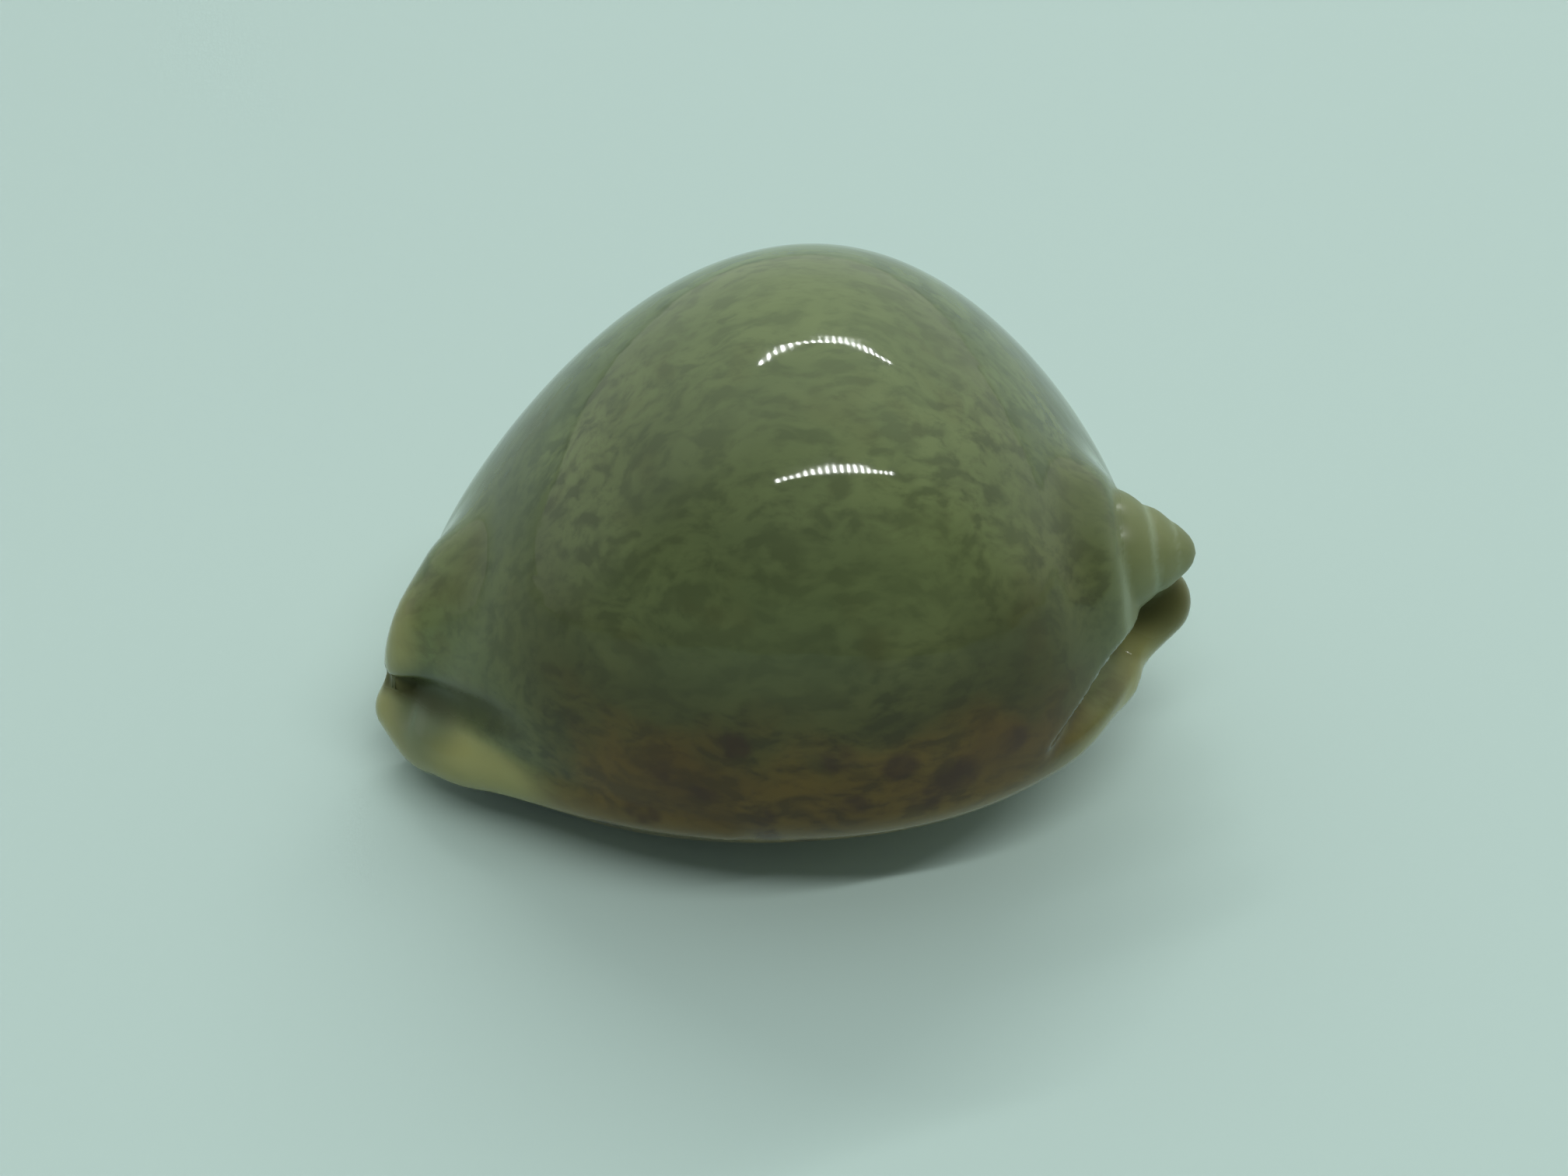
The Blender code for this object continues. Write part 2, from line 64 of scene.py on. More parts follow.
# Rolls of thick shell along the margins, and a web under the spire: centre x, y, z and radius
FRONT_NEAR_ROLL = (
    (-33.2, -4.5, -5.6, 2.7), (-31.0, -7.8, -5.8, 3.0), (-29.0, -9.2, -4.9, 3.4),
    (-27.0, -10.7, -4.6, 3.4), (-24.0, -13.0, -3.7, 2.9), (-21.0, -15.1, -3.3, 2.4),
    (-17.0, -17.8, -2.9, 1.8), (-12.0, -20.4, -2.6, 1.2), (-6.0, -22.6, -2.4, 0.7),
)
FRONT_FAR_ROLL = (
    (-32.0, 3.2, -6.0, 3.1), (-30.0, 7.0, -6.0, 3.4), (-26.0, 11.5, -6.0, 3.4), (-21.0, 15.5, -6.0, 3.0),
    (-15.0, 19.3, -5.4, 2.3), (-8.0, 21.6, -4.6, 1.2),
)
BEAK = ((-31.6, -3.1, -1.4, 2.5), (-31.0, -3.2, 1.1, 2.5), (-29.2, -2.4, 3.3, 3.1), (-25.8, -0.8, 5.0, 4.3))
BACK_NEAR_ROLL = (
    (31.8, -5.5, -1.2, 3.4), (28.8, -8.7, -3.6, 2.1), (27.9, -11.6, -4.1, 1.6), (25.3, -14.0, -3.8, 1.4),
    (22.1, -17.1, -3.3, 1.8), (17.0, -20.0, -2.6, 1.4), (10.0, -22.6, -2.2, 0.7),
)
BACK_FAR_ROLL = (
    (31.7, 0.8, -2.0, 3.7), (29.9, 5.5, -4.5, 3.0), (27.0, 10.0, -5.4, 2.8), (22.0, 15.3, -5.4, 2.5),
    (14.0, 20.0, -4.6, 1.4),
)
WEB = ((31.6, -5.4, 2.0, 1.7), (30.0, -5.2, 2.0, 2.3), (28.0, -5.0, 2.0, 3.0))

# Level that the body's underside is flattened at, measured down in the pose at rest
BASE_LEVEL = 13.9

# Swelling of the base that the shell rests on: centre, half sizes
PAD_CENTRE = (8.0, 2.6, -9.0)
PAD_SIZE = (19.0, 14.0, 6.4)

# Furrows between the rolls and the hump: centre x, y, z and radius
FRONT_FURROW = (
    (-34.5, -3.9, -2.3, 0.5), (-33.0, -4.6, -2.0, 0.7), (-31.0, -7.5, -0.5, 1.0), (-28.5, -11.3, 1.7, 1.8),
    (-25.5, -15.3, 3.4, 2.4), (-22.8, -18.9, 4.9, 2.1), (-20.4, -21.2, 5.6, 1.0),
)
BACK_FURROW = (
    (35.0, -7.8, 0.8, 0.9), (32.0, -8.0, 1.0, 1.7), (29.5, -11.4, 0.8, 2.5), (27.0, -14.8, 1.2, 2.5),
    (24.0, -18.6, 0.8, 1.8), (21.5, -21.2, 0.3, 0.8),
)

# Spire: a blunt cone of whorls around its own axis
SPIRE_TIP = np.array((34.84, -7.09, 6.36))
SPIRE_AXIS = np.array((0.993, -0.130, 0.010)) / math.sqrt(0.993 ** 2 + 0.130 ** 2 + 0.010 ** 2)
SPIRE_DEPTH = 10.5
SPIRE_BLUNT = 1.47
SPIRE_FLARE = 0.24
FLARE_END = 6.5
WHORL_RATE = 1.61
TURN_START = 0.02
WHORL_BULGE = 0.30
WHORL_INSET = 0.20
WHORL_FADE = (1.9, 1.8)
CONE_SLOPE = 0.72
COLLAR_RADIUS = 4.6
COLLAR_DEPTH = 8.4
COLLAR_LEAN = 0.07
COLLAR_THICKNESS = 1.2

# Slit: where its two lips stand along the shell, and how high it cuts
LIP_AT = (-37.0, -34.0, -32.0, -28.7, -24.6, -19.0, -12.0, 0.0, 12.0, 22.0, 25.6, 29.5, 33.0, 37.0)
NEAR_LIP = (-1.9, -2.2, -4.6, -9.8, -12.0, -13.0, -11.6, -8.8, -7.6, -7.2, -6.3, -4.4, -3.2, -3.0)
FAR_LIP = (1.6, 1.6, 0.4, -3.4, -5.6, -7.0, -6.8, -5.2, -4.5, -4.2, -3.2, -1.2, -0.6, -0.5)
ROOF_AT = (-37.0, -33.0, -30.0, -26.0, -22.0, -18.0, 24.0, 30.0, 33.0, 37.0)
SLIT_ROOF = (-4.0, -4.0, -4.2, -3.6, 0.0, 2.0, 0.0, -3.0, -3.4, -3.4)
TOOTH_PITCH = 2.6
TOOTH_HEIGHT = 0.45
TEETH_FROM = -24.0
TEETH_TO = 24.0
TEETH_FADE = 3.0

# Hollow
HUMP_WALL = 2.4
LEAST_WALL = 1.7
BASE_EXTRA = 2.0
WALL_CHANGE_AT = -5.5
WALL_CHANGE_OVER = 1.2
HOLLOW_FRONT = -28.0
HOLLOW_BACK = 27.0

# Widths over which neighbouring shapes run into each other
BLEND_BEAK = 4.5
BLEND_COLLAR = 6.0
BLEND_BASE = 3.0
BLEND_PAD = 4.0
BLEND_FRONT_FURROW = 1.2
BLEND_BACK_FURROW = 1.0
BLEND_SPIRE = 0.35
BLEND_WEB = 1.5
BLEND_FRONT_NEAR = 2.0
BLEND_FAR = 1.8
BLEND_BACK_NEAR = 1.2
BLEND_HOLLOW = 1.5
BLEND_HOLLOW_ENDS = 3.0
BLEND_LEAST_WALL = 0.5
BLEND_SLIT_ROOF = 1.0
BLEND_TIP = 0.8
BLEND_SPIRE_BACK = 1.0
LIP_ROUNDING = 1.6

# Smoothing of the rolls, and how far off they still count
CHAIN_STEPS = 3
CHAIN_REACH = 7.0
STEEPEST_CONE = 0.9

# Where the shell's own frame lies in the part's frame, millimetres
TILT_BACK_UP = math.radians(5.0)
ROLL = math.radians(5.7)
TURN = np.array(Matrix.Rotation(-TILT_BACK_UP, 3, "Y") @ Matrix.Rotation(ROLL, 3, "X"))
SHIFT = np.array((-0.1087, -0.8785, 14.5862))

# Fine skin
VOXEL = 0.5
SETTLE_STEPS = 8
STEP_LIMIT = 0.45
PROBE = 0.02
LEAST_SLOPE = 0.1

# Masks kept with the mesh: each layer holds three
LAYERS = (
    ("zones", ("base", "ends", "inside")),
    # This layer holds painted shade in the furrow and the pit, the spire's zone and the spots
    ("marks_and_shade", ("furrow_shade", "spire", "spots")),
    ("bands", ("wash", "seam", "lobe_top")),
    ("heights", ("crown", "side", "painted_reflection")),
)

# Where each mask starts and where it is full, millimetres
BASE_HEIGHTS = (0.5, -6.0)
INSIDE_DEPTHS = (0.4, 2.2)
NEAR_LOBE_EDGE = (1.8, 0.2)
FAR_LOBE_EDGE = (3.6, 0.0)
LOBE_REACH = (-19.0, -24.0)
BEAK_EDGE = (2.0, 0.3)
BEAK_REACH = (-29.0, -32.5)
BACK_EDGE = (1.6, 0.2)
BACK_REACH = (19.0, 26.0)
# Painted shade in the furrow by the near lobe and in the pit between the spire and the flange
FURROW_SHADE_EDGE = (1.3, -0.5)
PIT_SHADE_CENTRE = (31.5, -7.0, 1.5)
PIT_SHADE_RADII = (6.5, 1.5)
SPIRE_DEPTHS = (7.6, 5.6)
SPIRE_RADII = (8.0, 6.5)
SPIRE_HEIGHTS = (1.6, 3.0)
SEAM_EDGE = (0.19, 0.0)
SEAM_RADII = (1.8, 2.8)
WASH_HEIGHTS = (12.5, 2.5)
WASH_MIDDLE = 2.0
WASH_REACH = (27.0, 11.0)
LOBE_TOP_CENTRE = (-30.0, -8.0, -2.2)
LOBE_TOP_RADII = (6.2, 2.0)
CROWN_HEIGHTS = (20.0, 29.0)
# Sides: darker and browner downwards, partly the shell's own olive turning brown and partly painted shade
SIDE_HEIGHTS = (20.5, 8.0)
SIDE_MIDDLE = 1.0
SIDE_REACH = (29.0, 17.0)
# A painted dark reflection on the near side of the hump, longer along the shell
PAINTED_REFLECTION_CENTRE = (-3.0, -8.0, 21.0)
PAINTED_REFLECTION_RADII = (15.0, 3.0)
PAINTED_REFLECTION_SQUEEZE = 0.8
BEAK_PALENESS = 0.9

# Dark spots along the margins: the near ones are x, y, z and radius
NEAR_SPOTS = (
    (-10.0, -23.4, 4.3, 2.2), (-7.7, -24.2, 3.0, 1.8), (-3.1, -25.3, 0.4, 1.7), (9.8, -25.2, 1.0, 1.8),
    (12.3, -24.5, 2.8, 2.4), (4.2, -25.7, 1.7, 1.6), (-15.7, -20.3, -5.3, 2.4), (-2.9, -24.9, -2.4, 1.7),
    (0.2, -23.7, -5.0, 1.9), (12.7, -22.0, -5.8, 1.9), (-12.6, -22.2, -1.0, 1.8), (3.3, -25.1, 7.2, 1.8),
    (-4.8, -24.0, 8.2, 2.0), (8.0, -25.0, 5.4, 1.9), (17.0, -22.0, 4.2, 1.8),
)
SPOT_SEED = 7
FAR_SPOT_COUNT = 15
FAR_SPOT_REACH = 21.0
FAR_SPOT_STRAY = 1.2
FAR_SPOT_HEIGHTS = (-4.0, 7.0)
FAR_SPOT_SIZES = (1.4, 2.3)
FAR_SPOT_INSET = 0.97
SPOT_SQUEEZE = 0.6
SPOT_OUTER = 1.25
SPOT_INNER = 0.35

# Colours as displayed; a pair is a darker and a paler shade
OLIVE = ((0.37, 0.41, 0.26), (0.45, 0.49, 0.31))
BROWN = ((0.34, 0.25, 0.08), (0.41, 0.32, 0.11))
FAWN = ((0.48, 0.42, 0.27), (0.57, 0.51, 0.34))
CREAM = ((0.55, 0.54, 0.33), (0.62, 0.61, 0.39))
SPIRE_SHADES = ((0.42, 0.45, 0.29), (0.50, 0.52, 0.35))
FLOOR_SHADES = ((0.72, 0.80, 0.78), (0.74, 0.82, 0.80))
DAB_TONE = (0.23, 0.25, 0.16)
BROWN_DAB_TONE = (0.15, 0.10, 0.05)
INSIDE_TONE = (0.40, 0.31, 0.20)

# Tones laid over them: red, green and blue as displayed, and how much of it there is at most
STRAY_TONE = (0.31, 0.29, 0.15, 0.25)
CROWN_TONE = (0.50, 0.56, 0.42, 0.35)
# Painted dark reflection on the hump
PAINTED_REFLECTION_TONE = (0.25, 0.26, 0.17, 0.28)
# Multiplied in down the sides: partly the shell's own browner colour, partly painted shade
SIDE_TINT_AND_SHADE = (0.65, 0.54, 0.34, 0.85)
LOBE_TOP_TONE = (0.35, 0.40, 0.30, 0.85)
# Painted shade, laid over the furrow and the pit
FURROW_SHADE_TONE = (0.19, 0.19, 0.09, 0.85)
SEAM_TONE = (0.60, 0.65, 0.54, 0.55)
SPOT_TONE = (0.22, 0.13, 0.08, 0.7)
STROKE_SHARE = 0.7
WASH_SHARE = 0.95
ENDS_SHARE = 0.9
SPIRE_SHARE = 0.8

# Noises: waves in each metre, detail and roughness. Streaks have one number for the
# waves along the shell and two for those across it.
BROAD_STREAKS = ((55.0, 80.0, 80.0), 3.0, 0.55)
DAB_STREAKS = ((260.0, 520.0, 520.0), 2.0, 0.5)
STROKE_STREAKS = ((560.0, 1050.0, 1050.0), 3.0, 0.6)
CROWD_STREAKS = ((50.0, 85.0, 85.0), 2.0, 0.5)
RIPPLE_STREAKS = ((90.0, 300.0, 300.0), 2.0, 0.5)
STRAY_NOISE = (160.0, 2.0, 0.5)
BLUR_NOISE = (330.0, 2.0, 0.5)
GLOSS_NOISE = (260.0, 3.0, 0.6)
FLOOR_NOISE = (3.0, 2.0, 0.5)
BEND_SCALE = 150.0
BEND = 0.0035

# Where a noise or mask starts to show and where it is full, and for some the values at both
SHADE_EDGES = (0.3, 0.7)
BROWN_EDGES = (0.35, 0.65)
DAB_EDGES = (0.42, 0.72)
STROKE_EDGES = (0.42, 0.74)
STRAY_EDGES = (0.55, 0.75)
WASH_EDGES = (0.10, 0.90)
SPOT_EDGES = (0.05, 0.85)
CROWD_STRENGTHS = (0.32, 0.66, 0.26, 0.58)
WASH_RAGGEDNESS = (0.3, 0.7, -0.18, 0.18)
SPOT_BLUR = (0.3, 0.7, 0.35, 1.0)
# More dabs where the painted dark reflection lies, darkening it further
PAINTED_REFLECTION_CROWDING = 0.22

# Enamel's and floor's finish
ENAMEL_IOR = 1.46
ENAMEL_ROUGHNESS = (0.04, 0.08)
ENAMEL_SPECULAR = 0.38
FURROW_SPECULAR = 0.08
DULLNESS = 0.35
RIPPLE_STRENGTH = 0.25
RIPPLE_DEPTH = 0.00025
FLOOR_ROUGHNESS = 0.7

# Floor and camera: metres, the lens and sensor in millimetres, the turn in degrees
FLOOR_SIZE = 8.0
CAMERA_PLACE = (-0.0113175, -0.1303571, 0.1332758)
CAMERA_TURN = (48.3868, -0.6193, -4.4166)
SENSOR_WIDTH = 36.0
LENS = 46.43
CAMERA_SHIFT_X = 0.00494
CAMERA_SHIFT_Y = -0.02011
CLIP_START = 0.01

# Ceiling lights in metres and watts: name, both ends, power and number of beads
TUBES = (
    ("tube_near", (-0.54, -0.60, 1.5), (1.14, -0.31, 1.5), 11.0, 18),
    ("tube_far", (-0.53, 0.97, 1.5), (1.47, 1.51, 1.5), 13.0, 20),
)
TUBE_WIDTH = 0.065
TUBE_COLOUR = (0.97, 1.0, 0.98)
BEAD_GLOW = 2.6
LEAST_GLOW = 0.2

# Surroundings
DARK_SIDE = (0.16, 0.19, 0.18, 1.0)
DARK_SIDE_LOW = (0.32, 0.38, 0.36, 1.0)
PALE_SIDE = (0.80, 0.90, 0.87, 1.0)
SIDE_CHANGE_FROM = -0.35
SIDE_CHANGE_TO = 0.30
LOW_ENDS_AT = 0.40
WORLD_STRENGTH = 0.8


def soft_min(a, b, width):
    """The lower of two values, blended over a width."""
    h = np.clip(0.5 + 0.5 * (b - a) / width, 0.0, 1.0)
    return b + (a - b) * h - width * h * (1.0 - h)


def soft_max(a, b, width):
    """The higher of two values, blended over a width."""
    return -soft_min(-a, -b, width)


def taper(t, terms):
    """A size's factor along the shell, from the terms in its powers."""
    return 1.0 + sum(term * t ** (i + 1) for i, term in enumerate(terms))


def body_distance(x, y, z):
    """Distance to the humped body, about in millimetres and negative inside."""
    t = x / FRONT_HALF
    tc = np.clip(t, -TAPER_END, TAPER_END)
    height = z - END_SAG * tc * tc
    near = NEAR_WIDTH * taper(tc, NEAR_TAPER)
    far = FAR_WIDTH * taper(tc, FAR_TAPER)
    half_width = near + (far - near) * (0.5 + 0.5 * np.tanh(0.5 * y / SIDE_CHANGE))
    hump = HUMP_HEIGHT * taper(tc, HUMP_TAPER)
    half_height = np.where(height > 0.0, hump, BASE_DEPTH * taper(tc, BASE_TAPER))
    section = (np.abs(y) / half_width) ** SECTION_POWER + (np.abs(height) / half_height) ** SECTION_POWER
    section = section ** (1.0 / SECTION_POWER)
    reach = (np.abs(t) ** LENGTH_POWER + section ** LENGTH_POWER) ** (1.0 / LENGTH_POWER)
    radius = np.sqrt(x * x + y * y + height * height) + TINY
    return (reach - 1.0) * radius / np.maximum(reach, TINY) * BODY_SLOPE


def smooth_chain(balls):
    """The same chain with more balls, set between along a smooth curve."""
    balls = np.array(balls)
    row = np.vstack((2.0 * balls[0] - balls[1], balls, 2.0 * balls[-1] - balls[-2]))
    curve = []
    for before, first, second, after in zip(row[:-3], row[1:-2], row[2:-1], row[3:]):
        for i in range(CHAIN_STEPS):
            t = i / CHAIN_STEPS
            bend = 2.0 * before - 5.0 * first + 4.0 * second - after
            twist = 3.0 * first - before - 3.0 * second + after
            curve.append(first + 0.5 * t * (second - before + t * (bend + t * twist)))
    curve.append(balls[-1])
    return curve


def roll_distance(x, y, z, balls):
    """Distance to a smooth chain of balls joined by cones, worked out only where it is near."""
    curve = np.array(smooth_chain(balls))
    low = (curve[:, :3] - curve[:, 3:]).min(axis=0) - CHAIN_REACH
    high = (curve[:, :3] + curve[:, 3:]).max(axis=0) + CHAIN_REACH
    near = (x > low[0]) & (x < high[0]) & (y > low[1]) & (y < high[1]) & (z > low[2]) & (z < high[2])
    px, py, pz = x[near], y[near], z[near]
    nearest = np.full(px.shape, CHAIN_REACH)
    for (x0, y0, z0, r0), (x1, y1, z1, r1) in zip(curve[:-1], curve[1:]):
        dx, dy, dz = x1 - x0, y1 - y0, z1 - z0
        length = math.sqrt(dx * dx + dy * dy + dz * dz)
        growth = max(-STEEPEST_CONE, min(STEEPEST_CONE, (r1 - r0) / length))
        along = ((px - x0) * dx + (py - y0) * dy + (pz - z0) * dz) / length
        off = (px - x0) ** 2 + (py - y0) ** 2 + (pz - z0) ** 2 - along * along
        lean = np.sqrt(np.maximum(off, 0.0)) * growth / math.sqrt(1.0 - growth * growth)
        along = np.clip((along + lean) / length, 0.0, 1.0)
        gap = np.sqrt((px - x0 - along * dx) ** 2 + (py - y0 - along * dy) ** 2 + (pz - z0 - along * dz) ** 2)
        nearest = np.minimum(nearest, gap - (r0 + along * (r1 - r0)))
    distance = np.full(x.shape, CHAIN_REACH)
    distance[near] = nearest
    return distance


def spire_frame(x, y, z):
    """Depth below the tip, and the two offsets from the spire's axis."""
    side = np.cross(SPIRE_AXIS, (0.0, 0.0, 1.0))
    side = side / np.linalg.norm(side)
    up = np.cross(side, SPIRE_AXIS)
    dx, dy, dz = x - SPIRE_TIP[0], y - SPIRE_TIP[1], z - SPIRE_TIP[2]
    depth = -(dx * SPIRE_AXIS[0] + dy * SPIRE_AXIS[1] + dz * SPIRE_AXIS[2])
    across = dx * side[0] + dy * side[1] + dz * side[2]
    rise = dx * up[0] + dy * up[1] + dz * up[2]
    return depth, across, rise


def spire_radius(depth):
    """The blunt cone's radius at a depth below the tip."""
    shown = np.clip(depth, 0.0, FLARE_END)
    return SPIRE_BLUNT * np.sqrt(shown) + SPIRE_FLARE * shown


def whorl_part(depth, across, rise):
    """How far a point is from one seam of the spire (0) to the next (1)."""
    wound = WHORL_RATE * np.sqrt(np.maximum(depth, 0.0) + TURN_START)
    turn = wound - np.arctan2(rise, across) / (2.0 * math.pi)
    return turn - np.floor(turn)


def spire_distance(x, y, z):
    """Distance to the spire, whose whorls stand out between the turns of its seam."""
    depth, across, rise = spire_frame(x, y, z)
    radius = np.sqrt(across * across + rise * rise) + TINY
    part = whorl_part(depth, across, rise)
    step = WHORL_BULGE * 4.0 * part * (1.0 - part) - WHORL_INSET
    shown = np.clip((radius - WHORL_FADE[0]) / WHORL_FADE[1], 0.0, 1.0)
    step = step * shown * shown * (3.0 - 2.0 * shown)
    cone = (radius - spire_radius(depth) - step) * CONE_SLOPE
    return soft_max(soft_max(cone, -depth, BLEND_TIP), depth - SPIRE_DEPTH, BLEND_SPIRE_BACK)


def collar_distance(x, y, z):
    """Distance to the ring of shell that the spire comes out of."""
    depth, across, rise = spire_frame(x, y, z)
    radius = np.sqrt(across * across + rise * rise)
    below = depth - COLLAR_DEPTH - COLLAR_LEAN * rise
    return np.sqrt((radius - COLLAR_RADIUS) ** 2 + below ** 2) - COLLAR_THICKNESS


def pad_distance(x, y, z):
    """Distance to the swelling under the base, about in millimetres."""
    dx, dy, dz = ((v - c) / h for v, c, h in zip((x, y, z), PAD_CENTRE, PAD_SIZE))
    return (np.sqrt(dx * dx + dy * dy + dz * dz) - 1.0) * PAD_SIZE[2]


def rest_height(x, y, z):
    """Height above the shell's own origin in the pose at rest."""
    return x * math.sin(TILT_BACK_UP) + math.cos(TILT_BACK_UP) * (y * math.sin(ROLL) + z * math.cos(ROLL))


def levelled_body(x, y, z):
    """Distance to the body with its underside flattened."""
    return soft_max(body_distance(x, y, z), -BASE_LEVEL - rest_height(x, y, z), BLEND_BASE)


def outside_distance(x, y, z):
    """Distance to the shell as if it had no slit and no hollow."""
    d = levelled_body(x, y, z)
    d = soft_min(d, pad_distance(x, y, z), BLEND_PAD)
    d = soft_min(d, collar_distance(x, y, z), BLEND_COLLAR)
    d = soft_min(d, roll_distance(x, y, z, BEAK), BLEND_BEAK)
    d = soft_max(d, -roll_distance(x, y, z, FRONT_FURROW), BLEND_FRONT_FURROW)
    d = soft_max(d, -roll_distance(x, y, z, BACK_FURROW), BLEND_BACK_FURROW)
    d = soft_min(d, spire_distance(x, y, z), BLEND_SPIRE)
    d = soft_min(d, roll_distance(x, y, z, WEB), BLEND_WEB)
    d = soft_min(d, roll_distance(x, y, z, FRONT_NEAR_ROLL), BLEND_FRONT_NEAR)
    d = soft_min(d, roll_distance(x, y, z, FRONT_FAR_ROLL), BLEND_FAR)
    d = soft_min(d, roll_distance(x, y, z, BACK_NEAR_ROLL), BLEND_BACK_NEAR)
    return soft_min(d, roll_distance(x, y, z, BACK_FAR_ROLL), BLEND_FAR)


def slit_distance(x, y, z):
    """Distance to the slit's space, with short teeth along both lips."""
    near = np.interp(x, LIP_AT, NEAR_LIP)
    far = np.interp(x, LIP_AT, FAR_LIP)
    row = np.clip((x - TEETH_FROM) / TEETH_FADE, 0.0, 1.0) * np.clip((TEETH_TO - x) / TEETH_FADE, 0.0, 1.0)
    tooth = TOOTH_HEIGHT * row * (0.5 + 0.5 * np.cos(2.0 * math.pi * x / TOOTH_PITCH))
    middle = 0.5 * (near + far)
    half_width = 0.5 * (far - near) - tooth
    roof = np.interp(x, ROOF_AT, SLIT_ROOF)
    return soft_max(np.abs(y - middle) - half_width, z - roof, BLEND_SLIT_ROOF)


def hollow_distance(x, y, z):
    """Distance to the room inside, whose wall is thicker at the base."""
    wall = HUMP_WALL + BASE_EXTRA / (1.0 + np.exp((z - WALL_CHANGE_AT) / WALL_CHANGE_OVER))
    d = soft_max(levelled_body(x, y, z) + wall, x - HOLLOW_BACK, BLEND_HOLLOW_ENDS)
    return soft_max(d, HOLLOW_FRONT - x, BLEND_HOLLOW_ENDS)


def shell_distance(x, y, z):
    """Distance to the finished shell's surface."""
    outside = outside_distance(x, y, z)
    hollow = soft_max(hollow_distance(x, y, z), outside + LEAST_WALL, BLEND_LEAST_WALL)
    space = soft_min(slit_distance(x, y, z), hollow, BLEND_HOLLOW)
    return soft_max(outside, -space, LIP_ROUNDING)


def shift_onto(rule, points):
    """Moves points one limited step towards the surface where a rule is zero."""
    x, y, z = points.T
    value = rule(x, y, z)
    slope = np.stack([
        rule(x + PROBE, y, z) - rule(x - PROBE, y, z),
        rule(x, y + PROBE, z) - rule(x, y - PROBE, z),
        rule(x, y, z + PROBE) - rule(x, y, z - PROBE),
    ], axis=1) / (2.0 * PROBE)
    step = -(value / np.maximum((slope * slope).sum(axis=1), LEAST_SLOPE ** 2))[:, None] * slope
    length = np.linalg.norm(step, axis=1, keepdims=True)
    return points + step * np.minimum(1.0, STEP_LIMIT / np.maximum(length, TINY))


def mesh_points(mesh):
    """A mesh's vertices as an array."""
    points = np.empty(len(mesh.vertices) * 3)
    mesh.vertices.foreach_get("co", points)
    return points.reshape(-1, 3)


def to_shell(points):
    """Part-frame points in metres, as shell-frame points in millimetres."""
    return (points / MM - SHIFT) @ TURN


def to_part(points):
    """Shell-frame points in millimetres, as part-frame points in metres."""
    return (points @ TURN.T + SHIFT) * MM


def fine_shell(node):
    """The CAD solid's skin again with small faces, settled on the same rules."""
    mesh = node.data.copy()
    mesh.materials.clear()
    shell = bpy.data.objects.new("shell_enamel", mesh)
    bpy.context.scene.collection.objects.link(shell)
    modifier = shell.modifiers.new("skin", "REMESH")
    modifier.mode = "VOXEL"
    modifier.voxel_size = VOXEL * MM
    fine = bpy.data.meshes.new_from_object(shell.evaluated_get(bpy.context.evaluated_depsgraph_get()))
    shell.modifiers.clear()
    shell.data = fine
    points = to_shell(mesh_points(fine))
    for _ in range(SETTLE_STEPS):
        points = shift_onto(shell_distance, points)
    placed = to_part(points)
    placed[:, 2] = np.maximum(placed[:, 2], 0.0)
    fine.vertices.foreach_set("co", placed.ravel())
    fine.update()
    fine.shade_smooth()
    return shell


def ramp(low, high, value):
    """0 at low and 1 at high, smooth between; low may be the larger."""
    t = np.clip((value - low) / (high - low), 0.0, 1.0)
    return t * t * (3.0 - 2.0 * t)


def distance_to(centre, x, y, z):
    """Distance from a point."""
    return np.sqrt((x - centre[0]) ** 2 + (y - centre[1]) ** 2 + (z - centre[2]) ** 2)


def far_spots():
    """Spots scattered along the far margin: x, y, z and radius."""
    random = np.random.default_rng(SPOT_SEED)
    spots = []
    for i in range(FAR_SPOT_COUNT):
        even = FAR_SPOT_REACH * (2.0 * (i + 0.5) / FAR_SPOT_COUNT - 1.0)
        x = even + random.uniform(-FAR_SPOT_STRAY, FAR_SPOT_STRAY)
        z = random.uniform(*FAR_SPOT_HEIGHTS)
        t = x / FRONT_HALF
        half_width = FAR_WIDTH * taper(t, FAR_TAPER) * math.sqrt(1.0 - t * t)
        spots.append((x, half_width * FAR_SPOT_INSET, z, random.uniform(*FAR_SPOT_SIZES)))
    return spots


def spots_mask(x, y, z):
    """Soft round spots along both margins."""
    mask = np.zeros_like(x)
    for sx, sy, sz, size in (*NEAR_SPOTS, *far_spots()):
        gap = np.sqrt((x - sx) ** 2 + (SPOT_SQUEEZE * (y - sy)) ** 2 + (z - sz) ** 2)
        mask = np.maximum(mask, ramp(SPOT_OUTER * size, SPOT_INNER * size, gap))
    return mask


def ends_mask(x, y, z):
    """The lobes, the beak's edge and the rolls of the back end."""
    near_lobe = ramp(*NEAR_LOBE_EDGE, roll_distance(x, y, z, FRONT_NEAR_ROLL))
    far_lobe = ramp(*FAR_LOBE_EDGE, roll_distance(x, y, z, FRONT_FAR_ROLL))
    front = np.maximum(near_lobe, far_lobe) * ramp(*LOBE_REACH, x)
    beak = BEAK_PALENESS * ramp(*BEAK_EDGE, roll_distance(x, y, z, BEAK)) * ramp(*BEAK_REACH, x)
    back_rolls = np.minimum(roll_distance(x, y, z, BACK_NEAR_ROLL), roll_distance(x, y, z, BACK_FAR_ROLL))
    back = ramp(*BACK_EDGE, back_rolls) * ramp(*BACK_REACH, x)
    return np.maximum(np.maximum(front, beak), back)


def furrow_and_pit_shade_mask(x, y, z):
    """Painted shade in the furrow by the near lobe, and in the pit between the spire and the flange."""
    furrow_shade = ramp(*FURROW_SHADE_EDGE, roll_distance(x, y, z, FRONT_FURROW))
    return np.maximum(furrow_shade, ramp(*PIT_SHADE_RADII, distance_to(PIT_SHADE_CENTRE, x, y, z)))


